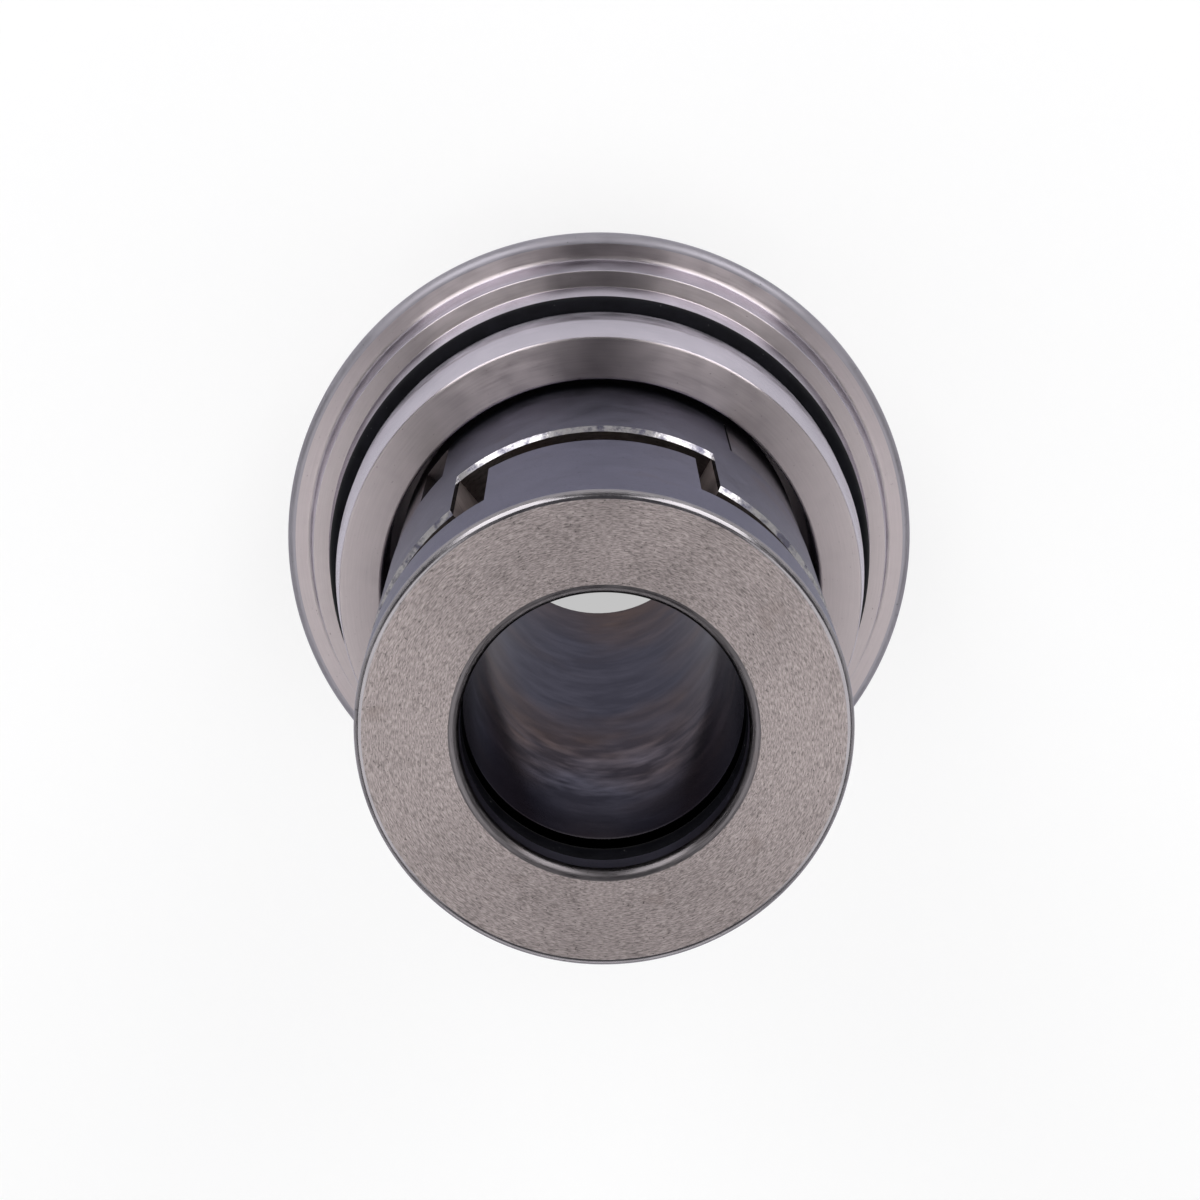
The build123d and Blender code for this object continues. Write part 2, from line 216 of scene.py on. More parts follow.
@named
class SealCouplingRing(bpy.types.PropertyGroup):
    """Sizes of the loose middle ring."""

    radius: length("Outer radius of the coupling ring", COUPLING_R)
    bore: length("Inner radius of the coupling ring", 0.0152)
    base: length("Height of the lower tongues' ends", COUPLING_BASE_Z)
    top: length("Height of the upper ends", COUPLING_TOP_Z)
    notch_floor: length("Height of the lower notches' floors", 0.0415)
    slot_floor: length("Height of the upper slots' floors", 0.0482)
    chamfer: length("Outer chamfer along the upper edges", 0.0004)
    heading: bearing("Direction of the first slot from +X", 95.5)
    slot_span: bearing("Angle that an upper slot takes", 68.2)
    tongue_span: bearing("Angle that a lower tongue takes", 81.0)
    wear: length("Width of the rubbed edges", 0.00012)


@named
class SealHolder(bpy.types.PropertyGroup):
    """Sizes of the cup that drives the rotary face."""

    radius: length("Outer radius of the face holder", HOLDER_R)
    base: length("Height of the skirt's lower edge", HOLDER_BASE_Z)
    tip: length("Height where the two tongues end", HOLDER_TIP_Z)
    web_base: length("Height of the web's lower face", 0.0264)
    web_top: length("Height of the web's upper face", 0.0298)
    skirt_bore: length("Radius of the skirt round the rotary face", 0.01745)
    web_bore: length("Radius of the hole through the web", 0.0150)
    tongue_bore: length("Inner radius of the tongues", 0.0153)
    heading: bearing("Direction of the first tongue from +X", 190.0)
    span: bearing("Angle that a tongue takes", 88.0)
    wear: length("Width of the rubbed edges", 0.00010)


@named
class SealCarrier(bpy.types.PropertyGroup):
    """Sizes of the still carrier, from its flange to its nose."""

    flange_radius: length("Outer radius of the flange", FLANGE_R)
    base: length("Height of the flange's lower face", CARRIER_BASE_Z)
    flange_top: length("Height of the flange's upper face", 0.0148)
    flange_rounding: length("Radius of the flange's edges", 0.0008)
    shoulder_foot: length("Radius where the shoulder leaves the flange", 0.02795)
    shoulder_radius: length("Radius at the shoulder's top", 0.02745)
    shoulder_top: length("Height of the shoulder", 0.0182)
    shoulder_fillet: length("Fillet between flange and shoulder", 0.0006)
    step_foot: length("Radius at the foot of the small step", 0.02595)
    step_radius: length("Radius at the top of the small step", 0.0252)
    groove_base: length("Height of the cord groove's lower side", 0.0196)
    groove_top: length("Height of the cord groove's upper side", 0.0231)
    groove_radius: length("Radius of the cord groove's floor", 0.02255)
    land_radius: length("Radius of the pilot land", 0.0244)
    land_top: length("Height where the lead-in cone starts", 0.0275)
    nose_radius: length("Radius of the nose's outer edge", 0.0237)
    nose_top: length("Height of the nose", NOSE_Z)
    nose_bore: length("Radius of the nose's bore", 0.01984)
    pocket_top: length("Height where the seat's pocket opens into the nose", 0.0210)
    pocket_radius: length("Radius of the seat's pocket", 0.0186)
    lip_top: length("Height of the lip under the seat", 0.0147)
    lip_bore: length("Radius of the hole through the lip", 0.0136)
    edge_break: length("Radius of the small broken edges", 0.0003)


@named
class SealSpring(bpy.types.PropertyGroup):
    """Sizes of the compression spring."""

    radius: length("Outer radius of the coil", SPRING_R)
    base: length("Height of the lowest point of the wire", SPRING_BASE_Z)
    top: length("Height of the highest point of the wire", SPRING_TOP_Z)
    wire: length("Diameter of the wire", 0.0020)
    turns: count("Number of turns with the closed ones", 7, 3)
    anchor: length("Height of the hub that the spring is pressed against", 0.0605)
    travel: length("Way that the spring gives", 0.0040)


@named
class SealScrews(bpy.types.PropertyGroup):
    """Sizes of the set screws in the clamp collar."""

    radius: length("Radius over the thread", 0.0030)
    pitch: length("Pitch of the thread", 0.0010)
    depth: length("Depth of the thread", 0.00052)
    tip: length("Distance of the blunt point from the shaft axis", 0.0114)
    end: length("Distance of the socket end from the shaft axis", COLLAR_R - SCREW_SUNK)
    point: length("Length of the cone at the point", 0.0009)
    socket: length("Half the width across the socket's flats", 0.0015)
    socket_depth: length("Depth of the hexagon socket", 0.0030)
    height: length("Height of the screws' axes", (COLLAR_BASE_Z + COLLAR_TOP_Z) / 2)
    heading: bearing("Direction of the first screw from +X", 90.0)
    count: count("Number of set screws", 3, 1)


@named
class SealColours(bpy.types.PropertyGroup):
    """Colours of the finishes."""

    ground_face: colour("Ground front face of the drive ring", (0.342, 0.297, 0.291))
    ground_wall: colour("Outer wall of the drive ring", (0.132, 0.127, 0.170))
    coupling_wall: colour("Outer wall of the coupling ring", (0.120, 0.115, 0.146))
    # On the slots' flanks this lighter colour is partly painted light, standing in for the light that the
    # flanks catch.
    coupling_face: colour("Ends and slot walls of the coupling ring", (0.290, 0.240, 0.230))
    carrier_wall: colour("Cones and lands of the carrier", (0.48, 0.445, 0.505))
    carrier_face: colour("Flat faces of the carrier", (0.440, 0.390, 0.396))
    holder: colour("Dark steel of the face holder", (0.145, 0.132, 0.148))
    sleeve: colour("Polished steel of the sleeve", (0.094, 0.090, 0.114))
    hardware: colour("Pins, washer, collar and retaining ring", (0.45, 0.435, 0.45))
    spring: colour("Drawn wire of the spring", (0.42, 0.40, 0.41))
    screw: colour("Blackened steel of the set screws", (0.055, 0.054, 0.058))
    bright_edge: colour("Rubbed edges", (0.40, 0.385, 0.392))
    rim: colour("Rounded rim of the front face", (0.255, 0.240, 0.252))
    lead_in: colour("Rounded mouth of the bore", (0.118, 0.108, 0.113))
    flange_edge: colour("Satin edge of the flange", (0.30, 0.285, 0.315))
    # Painted shade: dark colour for the slots' floors and the drive ring's cord groove, where shade falls.
    slot_floor: colour("Painted shade on the slots' floors and in the drive ring's groove", (0.075, 0.064, 0.061))
    stain: colour("Brown stains in slots and bore", (0.115, 0.075, 0.055))
    rubber: colour("Black rubber of the cords", (0.0045, 0.0045, 0.0060))
    dust: colour("Dust on the rubber", (0.16, 0.155, 0.15))
    carbide: colour("Silicon carbide of the face rings", (0.060, 0.060, 0.064))
    floor: colour("Plain pale floor", (0.93, 0.93, 0.93))
    sky: colour("Soft light from above", (0.14, 0.14, 0.15))


def lamp_group(label, lamp, turn, rise, distance, width, height, power):
    """Property group of one kind of lamp."""
    parts = {
        "turn": bearing(f"Angle of {lamp} from +Y", turn),
        "rise": bearing(f"Angle of {lamp} above the floor", rise),
        "distance": length(f"Distance of {lamp} from the seal", distance),
        "width": length(f"Width of {lamp}", width),
        "height": length(f"Height of {lamp}", height),
        "power": amount(f"Power of {lamp} in watts", power),
    }
    body = {"__doc__": f"Settings of {lamp}.", "__annotations__": parts}
    return named(type(label, (bpy.types.PropertyGroup,), body))


SealBoxes = lamp_group("SealBoxes", "each side box", 31.5, 36.0, 0.55, 0.25, 0.46, 1.22)
SealPanels = lamp_group("SealPanels", "each overhead panel", 115.0, 59.0, 0.60, 0.45, 0.41, 0.96)
SealRear = lamp_group("SealRear", "the rear panel", 180.0, 28.0, 0.60, 0.60, 0.30, 0.53)


@named
class SealStage(bpy.types.PropertyGroup):
    """Camera, lamps and floor."""

    camera: FloatVectorProperty(
        description="Place of the camera", default=(-0.00199, 0.06165, 0.25002),
        subtype="TRANSLATION", unit="LENGTH", precision=5,
    )
    tilt: FloatVectorProperty(
        description="Turn of the camera from looking straight down", subtype="EULER",
        default=(radians(-15.9), radians(-0.51), radians(0.37)),
    )
    lens: amount("Focal length in millimetres on a 36 mm sensor", 75.0)
    boxes: PointerProperty(type=SealBoxes)
    panels: PointerProperty(type=SealPanels)
    rear: PointerProperty(type=SealRear)
    floor_radius: length("Radius of the flat floor", 0.55)
    sweep: length("Radius of the floor's upward sweep", 0.15)
    wall: length("Height of the wall above the sweep", 0.16)
    floor_white: amount("Share of plain white in the floor that is seen or mirrored", 0.72)
    white_under: amount("Part of that white left on the floor under the bore", 0.75)
    white_inner: length("Distance from the axis where that white starts to fade", 0.20)
    white_outer: length("Distance from the axis where that white has gone", 0.50)


@named
class SealSettings(bpy.types.PropertyGroup):
    """All settings of the seal."""

    steps: count("Steps round a turned piece", 288, 24)
    arc_steps: count("Steps along a rounded edge", 7, 2)
    drive_ring: PointerProperty(type=SealDriveRing)
    coupling_ring: PointerProperty(type=SealCouplingRing)
    holder: PointerProperty(type=SealHolder)
    carrier: PointerProperty(type=SealCarrier)
    spring: PointerProperty(type=SealSpring)
    screws: PointerProperty(type=SealScrews)
    colours: PointerProperty(type=SealColours)
    stage: PointerProperty(type=SealStage)


def settings():
    """The scene's seal settings."""
    return bpy.context.scene.seal


def unit(vector):
    """Vector of length one."""
    return vector / np.linalg.norm(vector)


def rounded(corners, steps):
    """Closed outline of (radius, height) points from (radius, height, rounding) corners, and their corners.

    A plain corner is one point. A rounded corner is the arc that touches both of its runs: the arc's
    centre lies on the corner's bisector, and its points turn evenly from one touching point to the other.
    """
    corners = np.array(corners, float)
    share = np.linspace(0, 1, steps + 1)[:, None]
    runs = []
    for before, here, after in zip(np.roll(corners, 1, axis=0), corners, np.roll(corners, -1, axis=0)):
        point = here[:2]
        if here[2] == 0:
            runs.append(point[None])
            continue
        back = unit(before[:2] - point)
        on = unit(after[:2] - point)
        half = np.arccos(np.dot(back, on)) / 2
        centre = point + unit(back + on) * here[2] / np.sin(half)
        first = point + back * here[2] / np.tan(half) - centre
        last = point + on * here[2] / np.tan(half) - centre
        swing = np.pi - 2 * half
        arc = np.sin((1 - share) * swing) * first + np.sin(share * swing) * last
        runs.append(centre + arc / np.sin(swing))
    owners = np.repeat(np.arange(len(runs)), [len(run) for run in runs])
    return np.vstack(runs), owners


def arc_rows(owners, corner):
    """True at the rows of squares that lie within one corner's arc."""
    return (owners == corner) & (np.roll(owners, -1) == corner)


def even_angles(steps, start=-np.pi):
    """Angles of even steps round a circle."""
    return np.linspace(start, start + 2 * np.pi, steps, endpoint=False)


def flank_angles(heading, span):
    """Angles of the four flanks of two opposed spans about a heading."""
    sides = np.array([-span / 2, span / 2])
    both = np.concatenate([heading + sides, heading + np.pi + sides])
    return (both + np.pi) % (2 * np.pi) - np.pi


def stepped_angles(steps, *flanks):
    """Even steps round the axis with two columns a hair apart at each flank, so that walls stand radial."""
    extra = np.concatenate(flanks)
    return np.sort(np.concatenate([even_angles(steps), extra - FLANK_HAIR, extra + FLANK_HAIR]))


def within(angles, heading, span):
    """True at the angles that lie in either of two opposed spans about a heading."""
    return (angles - heading + span / 2) % np.pi < span


def turned(profile, angles):
    """Profile carried round the axis: x = r cos(angle), y = r sin(angle) and z is the profile's height.

    The profile is one outline for all columns, or one outline for each column.
    """
    columns = np.broadcast_to(profile, (len(angles),) + profile.shape[-2:])
    x = columns[..., 0] * np.cos(angles)[:, None]
    y = columns[..., 0] * np.sin(angles)[:, None]
    return np.stack([x, y, columns[..., 1]], axis=-1)


def lifted(profile, rows, rise):
    """Copies of a profile, one a column, with the given rows raised by that column's rise."""
    columns = np.repeat(profile[None], len(rise), axis=0)
    columns[..., 1] += rows[None] * rise[:, None]
    return columns


def tongued(profile, steps, size, root):
    """Turned profile whose tongue tips move to the root's height outside the two tongue spans."""
    angles = stepped_angles(steps, flank_angles(size.heading, size.span))
    shift = np.where(within(angles, size.heading, size.span), 0.0, root - size.tip)
    return turned(lifted(profile, np.isclose(profile[:, 1], size.tip), shift), angles)


def grid_mesh(name, grid, closed, finishes=None, **attributes):
    """Mesh of a grid of points whose columns wrap round.

    Each square joins a point and the next one of its column to the same two of the next column. A closed
    grid wraps along its columns too, and an open one ends in poles. Points that meet are merged, and the
    faces are turned outwards. Finishes gives the material number of each row of squares.
    """
    columns, rows = grid.shape[:2]
    index = np.arange(columns * rows).reshape(columns, rows)
    after = np.roll(index, -1, axis=0)
    if closed:
        corners = [index, np.roll(index, -1, axis=1), np.roll(after, -1, axis=1), after]
    else:
        corners = [index[:, :-1], index[:, 1:], after[:, 1:], after[:, :-1]]
    squares = np.stack(corners, axis=-1)
    mesh = bpy.data.meshes.new(name)
    mesh.from_pydata(grid.reshape(-1, 3).tolist(), [], squares.reshape(-1, 4).tolist())
    if finishes is not None:
        mesh.polygons.foreach_set("material_index", np.broadcast_to(finishes, squares.shape[:2]).ravel())
    for label, values in attributes.items():
        layer = mesh.attributes.new(label, "FLOAT", "POINT")
        layer.data.foreach_set("value", np.ascontiguousarray(values, np.float32).ravel())
    shape = bmesh.new()
    shape.from_mesh(mesh)
    bmesh.ops.remove_doubles(shape, verts=shape.verts, dist=MERGE_DISTANCE)
    bmesh.ops.recalc_face_normals(shape, faces=shape.faces)
    shape.to_mesh(mesh)
    shape.free()
    mesh.polygons.foreach_set("use_smooth", np.ones(len(mesh.polygons), bool))
    mesh.set_sharp_from_angle(angle=SHARP_ANGLE)
    return mesh


def new_piece(mesh, body, slot, node, *finishes):
    """Object of a mesh that stands for a CAD node, rides on its body and has its slot and finishes."""
    piece = bpy.data.objects.new(mesh.name, mesh)
    bpy.context.scene.collection.objects.link(piece)
    for finish in finishes:
        mesh.materials.append(finish)
    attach(piece, body)
    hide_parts(node)
    return piece


def rub_edges(piece, width):
    """Small round edges all over a piece, which take its second finish."""
    bevel = piece.modifiers.new("rubbed_edges", "BEVEL")
    bevel.width = width
    bevel.segments = 2
    bevel.limit_method = "ANGLE"
    bevel.angle_limit = SHARP_ANGLE
    bevel.harden_normals = True
    bevel.material = 1


def put(kind, feeds, **options):
    """Node with its options, whose inputs are fed with numbers, colours or other nodes' outputs.

    It is added to the tree that holds those outputs.
    """
    outputs = {key: value for key, value in feeds.items() if isinstance(value, bpy.types.NodeSocket)}
    tree = next(iter(outputs.values())).id_data
    node = tree.nodes.new(kind)
    for key, value in options.items():
        setattr(node, key, value)
    for key, value in feeds.items():
        if key in outputs:
            tree.links.new(value, node.inputs[key])
        else:
            node.inputs[key].default_value = value
    return node


def calc(operation, first, second=0.0):
    """Result of a Math node."""
    return put("ShaderNodeMath", {0: first, 1: second}, operation=operation).outputs[0]


def times(first, second):
    """Product of two numbers."""
    return calc("MULTIPLY", first, second)


def span_to(value, low, high, to_low=0.0, to_high=1.0):
    """Value carried from one span to another and kept inside it."""
    feeds = {"Value": value, "From Min": low, "From Max": high, "To Min": to_low, "To Max": to_high}
    return put("ShaderNodeMapRange", feeds).outputs[0]


def vary(pattern, low, high):
    """Low to high over the middle of a pattern, where most of its values lie."""
    return span_to(pattern, *PATTERN_MIDDLE, low, high)


def mix(factor, first, second):
    """Number between two numbers."""
    return put("ShaderNodeMix", {0: factor, 2: first, 3: second}).outputs[0]


def blend(factor, first, second):
    """Colour between two colours."""
    feeds = {0: factor, 6: first, 7: second}
    return put("ShaderNodeMix", feeds, data_type="RGBA").outputs[2]


def shade(tint, factor):
    """Colour made lighter or darker by a factor."""
    return put("ShaderNodeVectorMath", {0: tint, "Scale": factor}, operation="SCALE").outputs[0]


def noise(vector, scale, detail=2.0, rough=0.5):
    """Even noise from 0 to 1."""
    feeds = {"Vector": vector, "Scale": scale, "Detail": detail, "Roughness": rough}
    return put("ShaderNodeTexNoise", feeds).outputs[0]


def rgba(tint, factor=1.0):
    """Colour made lighter or darker by a factor, with full alpha."""
    return (*(channel * factor for channel in tint), 1.0)


def new_finish(name, metallic, anisotropy=0.0, grazing=1.0):
    """Material, its Principled shader, the piece's own coordinates and the colour settings.

    Grazing is the share of light that steel keeps at its far edges, where it turns a little blue.
    """
    material = bpy.data.materials.new(name)
    material.use_nodes = True
    shader = material.node_tree.nodes["Principled BSDF"]
    values = {
        "Metallic": metallic,
        "Anisotropic": anisotropy,
        "Anisotropic Rotation": ACROSS_MARKS,
        "Specular Tint": rgba((grazing, grazing, min(1.0, grazing * GRAZING_BLUE))),
    }
    for key, value in values.items():
        shader.inputs[key].default_value = value
    coordinates = material.node_tree.nodes.new("ShaderNodeTexCoord").outputs
    return material, shader, coordinates["Object"], settings().colours


def along(operation, *vectors):
    """Vector that comes from a Vector Math node."""
    return put("ShaderNodeVectorMath", dict(enumerate(vectors)), operation=operation).outputs[0]


def round_the_axis(place):
    """Direction from the axis, distance from the axis and height of each point."""
    flat = along("MULTIPLY", place, (1.0, 1.0, 0.0))
    distance = put("ShaderNodeVectorMath", {0: flat}, operation="LENGTH").outputs["Value"]
    height = put("ShaderNodeSeparateXYZ", {0: place}).outputs["Z"]
    return along("NORMALIZE", flat), distance, height


def tool_marks(place, turning, crossing):
    """Marks that run round the axis: noise on the outward direction, with quick change along the profile."""
    outward, distance, height = round_the_axis(place)
    path = times(calc("ADD", distance, times(height, HEIGHT_SHARE)), crossing)
    lift = put("ShaderNodeCombineXYZ", {"Z": path}).outputs[0]
    lay = along("MULTIPLY_ADD", outward, (turning, turning, turning), lift)
    return noise(lay, scale=1.0, rough=0.6)


def grain_direction(place):
    """Direction round the axis at each point, in which the tool marks lie."""
    across = along("CROSS_PRODUCT", (0.0, 0.0, 1.0), round_the_axis(place)[0])
    way = {"vector_type": "VECTOR", "convert_from": "OBJECT", "convert_to": "WORLD"}
    return put("ShaderNodeVectorTransform", {0: across}, **way).outputs[0]


def flatness(place):
    """0 on walls that stand along the axis, 1 on faces square to it, by how far the normal leans."""
    normal = put("ShaderNodeSeparateXYZ", {0: place.node.outputs["Normal"]})
    return span_to(calc("ABSOLUTE", normal.outputs["Z"]), *FACE_LEAN)


def dress(shader, tint, rough, pattern, depth):
    """Give a shader its colour, roughness and a bump, whose full depth is in micrometres."""
    feeds = {"Strength": 1.0, "Distance": depth * MICROMETRE, "Height": pattern}
    normal = put("ShaderNodeBump", feeds).outputs[0]
    for key, output in (("Base Color", tint), ("Roughness", rough), ("Normal", normal)):
        shader.id_data.links.new(output, shader.inputs[key])


class Steel(NamedTuple):
    """Numbers of one turned finish.

    The colours are names in the colour settings. Marks are their change round the axis and across it. Pits
    and stains are how far their spans come down. The bump's depth is in micrometres. The face gain makes
    the marks on the faces stronger than those on the walls.
    """

    wall: str
    face: str
    wall_rough: float
    face_rough: float
    face_marks: tuple
    wall_marks: tuple
    contrast: float
    pits: float
    stains: float
    depth: float
    anisotropy: float = 0.0
    face_gain: float = 1.0
    grazing: float = 0.65


STEELS = {
    "ground_steel": Steel(
        "ground_wall", "ground_face", 0.34, 0.46, (38, 13000), (5, 9000), 0.17, 0.015, -0.04, 12, 0.5,
        face_gain=2.9,
    ),
    "rim_steel": Steel("rim", "rim", 0.18, 0.18, (8, 9000), (8, 9000), 0.10, -0.02, -0.1, 3),
    "lead_in_steel": Steel("lead_in", "lead_in", 0.28, 0.30, (7, 9000), (7, 9000), 0.28, -0.02, 0.0, 4, 0.2),
    # Painted shade: dark steel on the coupling ring's top with its slots' floors and in the drive ring's cord
    # groove, where shade falls.
    "oily_steel": Steel(
        "slot_floor", "slot_floor", 0.34, 0.34, (24, 7000), (6, 7000), 0.25, 0.02, 0.05, 10, 0.3
    ),
    "coupling_steel": Steel(
        "coupling_wall", "coupling_face", 0.34, 0.42, (30, 7000), (4, 8000), 0.12, 0.0, 0.0, 15, 0.45
    ),
    # Lighter steel of the slots' flanks, partly painted light for the light that they catch.
    "slot_wall_steel": Steel(
        "coupling_face", "coupling_face", 0.50, 0.50, (30, 7000), (6, 7000), 0.25, 0.02, 0.05, 10
    ),
    "holder_steel": Steel("holder", "holder", 0.46, 0.52, (20, 6000), (4, 7000), 0.14, 0.0, 0.06, 15, 0.3),
    "carrier_steel": Steel(
        "carrier_wall", "carrier_face", 0.21, 0.34, (6, 6500), (3, 7000), 0.06, -0.05, -0.20, 1, 0.97,
        grazing=0.95,
    ),
    "flange_edge_steel": Steel(
        "flange_edge", "flange_edge", 0.46, 0.46, (5, 7000), (5, 7000), 0.06, -0.05, -0.20, 2, 0.4
    ),
    "collar_steel": Steel(
        "carrier_wall", "hardware", 0.46, 0.50, (5, 6000), (3, 7000), 0.10, -0.02, -0.04, 10, 0.55
    ),
    "clip_steel": Steel("hardware", "holder", 0.40, 0.44, (14, 5000), (6, 6000), 0.10, 0.0, 0.02, 8, 0.2),
    "hardware_steel": Steel(
        "hardware", "hardware", 0.38, 0.42, (10, 6000), (6, 7000), 0.10, -0.02, -0.04, 8, 0.2
    ),
}


def turned_steel(name):
    """Turned or ground steel whose flat faces and round walls differ.

    Tool marks, broad blotches, short dark drags and soft stains vary the colour, and the marks give the bump.
    """
    steel = STEELS[name]
    material, shader, place, tones = new_finish(name, 1.0, steel.anisotropy, steel.grazing)
    flat = flatness(place)
    marks = mix(flat, tool_marks(place, *steel.wall_marks), tool_marks(place, *steel.face_marks))
    blotch = noise(place, scale=330.0, rough=0.55)
    drag = tool_marks(place, turning=60.0, crossing=5200.0)
    drag = span_to(drag, *(edge - steel.pits for edge in DRAG_SPAN))
    soil = noise(place, scale=140.0, detail=3.0, rough=0.6)
    soil = span_to(soil, *(edge - steel.stains for edge in SOIL_SPAN))
    swing = span_to(marks, *MARK_SPAN, -steel.contrast, steel.contrast)
    swing = times(swing, mix(flat, 1.0, steel.face_gain))
    tint = blend(flat, rgba(getattr(tones, steel.wall)), rgba(getattr(tones, steel.face)))
    tint = shade(tint, calc("ADD", swing, 1.0))
    tint = shade(tint, span_to(blotch, *BLOTCH_SPAN, 0.90, 1.09))
    tint = blend(times(soil, SOIL_SHARE), tint, rgba(tones.stain))
    tint = shade(tint, span_to(drag, 0.0, 1.0, 1.0, DRAG_SHADE))
    rough = mix(flat, steel.wall_rough, steel.face_rough)
    rough = calc("ADD", rough, span_to(marks, 0.2, 0.8, -0.05, 0.05))
    rough = calc("ADD", rough, span_to(blotch, *BLOTCH_SPAN, -0.04, 0.04))
    dress(shader, tint, rough, marks, steel.depth)
    shader.id_data.links.new(grain_direction(place), shader.inputs["Tangent"])
    return material


def polished_bore(name):
    """Polished sleeve: smooth steel with faint lines and banded brown patches, worn bright at its wet end.

    The flat ends are left dark with oil, and the worn band is a narrow span under the sleeve's top. Rings
    that the shaft has rubbed are strong between two depths under it and faint elsewhere.
    """
    material, shader, place, tones = new_finish(name, metallic=1.0, grazing=0.5)
    under = calc("SUBTRACT", SLEEVE_TOP_Z, round_the_axis(place)[2])
    lines = tool_marks(place, turning=1.6, crossing=2400.0)
    rings = tool_marks(place, turning=2.6, crossing=520.0)
    patch = noise(place, scale=48.0, detail=3.0)
    band = noise(along("MULTIPLY", place, BORE_BANDS), scale=1.0, detail=4.0, rough=0.6)
    soil = times(span_to(patch, 0.40, 0.60), span_to(band, 0.32, 0.66, 0.35, 1.0))
    # Painted highlight: a narrow bright band just under the sleeve's top.
    painted_end_highlight = span_to(under, *PAINTED_HIGHLIGHT_FADE, 0.0, 0.8)
    # Ring streaks with a raised gain between two depths, partly a painted reflection.
    low_side = span_to(under, *RINGS_LOW, RINGS_FAINT, 1.0)
    high_side = span_to(under, *RINGS_HIGH, 1.0, RINGS_FAINT)
    swing = times(times(low_side, high_side), span_to(rings, 0.38, 0.68, -0.25, 1.7))
    tint = shade(tones.sleeve, vary(lines, 0.94, 1.06))
    tint = blend(soil, tint, rgba(tones.stain, 1.25))
    tint = shade(tint, calc("ADD", swing, 1.0))
    tint = blend(painted_end_highlight, tint, rgba(tones.bright_edge))
    # Painted shade: the flat ends are darkened.
    tint = blend(flatness(place), tint, rgba(tones.sleeve, 0.15))
    dress(shader, tint, vary(patch, 0.15, 0.23), lines, depth=1.2)
    return material


def rubbed_steel(name):
    """Rubbed edge: bright steel, broken by dull nicks along it."""
    material, shader, place, tones = new_finish(name, metallic=1.0)
    nick = span_to(noise(place, scale=900.0, detail=3.0, rough=0.65), 0.44, 0.62)
    grain = noise(place, scale=5200.0)
    tint = blend(nick, rgba(tones.bright_edge), rgba(tones.ground_wall))
    tint = shade(tint, vary(grain, 0.88, 1.08))
    dress(shader, tint, span_to(nick, 0.0, 1.0, 0.11, 0.26), grain, depth=6)
    return material


def black_rubber(name):
    """Moulded rubber: near black, with a dull bloom in patches, fine grain and a little dust."""
    material, shader, place, tones = new_finish(name, metallic=0.0)
    shader.inputs["Specular IOR Level"].default_value = RUBBER_GLOSS
    bloom = noise(place, scale=420.0, detail=4.0, rough=0.6)
    dust = span_to(noise(place, scale=3400.0, detail=1.0), 0.76, 0.82, 0.0, 0.35)
    tint = shade(tones.rubber, vary(bloom, 0.75, 1.5))
    tint = blend(dust, tint, rgba(tones.dust))
    dress(shader, tint, vary(bloom, 0.44, 0.62), noise(place, scale=6500.0), depth=12)
    return material


def lapped_carbide(name):
    """Lapped silicon carbide: dark grey, with fine bright grains and a smooth face."""
    material, shader, place, tones = new_finish(name, metallic=0.0)
    grains = put("ShaderNodeTexVoronoi", {"Vector": place, "Scale": 9000.0}).outputs["Color"]
    glint = span_to(put("ShaderNodeSeparateColor", {0: grains}).outputs[0], 0.55, 1.0)
    cloud = noise(place, scale=500.0, detail=3.0)
    tint = blend(glint, rgba(tones.carbide, 0.75), rgba(tones.carbide, 1.9))
    dress(shader, tint, vary(cloud, 0.16, 0.30), glint, depth=3)
    return material


def attribute(material, name):
    """Number that a piece's mesh carries."""
    node = material.node_tree.nodes.new("ShaderNodeAttribute")
    node.attribute_name = name
    return node.outputs["Fac"]


def drawn_wire(name):
    """Drawn spring wire: fine lines along the wire, on the coil's own turn and lap attributes."""
    material, shader, place, tones = new_finish(name, metallic=1.0)
    lap = attribute(material, "lap")
    ring_x = times(calc("COSINE", lap), WIRE_LINES)
    ring_y = times(calc("SINE", lap), WIRE_LINES)
    feeds = {"X": ring_x, "Y": ring_y, "Z": attribute(material, "turn")}
    wire = put("ShaderNodeCombineXYZ", feeds).outputs[0]
    lines = noise(wire, scale=2.0, detail=3.0, rough=0.6)
    soil = span_to(noise(place, scale=260.0, detail=4.0), 0.55, 0.85, 0.0, 0.6)
    tint = shade(tones.spring, vary(lines, 0.75, 1.15))
    tint = blend(soil, tint, rgba(tones.stain))
    dress(shader, tint, vary(lines, 0.26, 0.40), lines, depth=10)
    return material


def blackened_steel(name):
    """Blackened screw steel: dull black, rubbed bright on the crests that the wear attribute marks."""
    material, shader, place, tones = new_finish(name, metallic=1.0)
    patch = noise(place, scale=1500.0, detail=3.0, rough=0.6)
    rubbed = times(attribute(material, "wear"), span_to(patch, 0.42, 0.62))
    tint = shade(tones.screw, vary(patch, 0.75, 1.3))
    tint = blend(rubbed, tint, rgba(tones.bright_edge, 0.6))
    dress(shader, tint, vary(patch, 0.32, 0.48), patch, depth=15)
    return material


def shared(name, make):
    """Finish that several pieces share, made once."""
    return bpy.data.materials.get(name) or make(name)


def rubbed_edge():
    """Finish of the rubbed edges."""
    return shared("rubbed_edge", rubbed_steel)


def finish_nodes(finish, *names):
    """Give CAD nodes whose shapes stay a finish."""
    for name in names:
        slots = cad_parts[name].data.materials
        slots.clear()
        slots.append(finish)


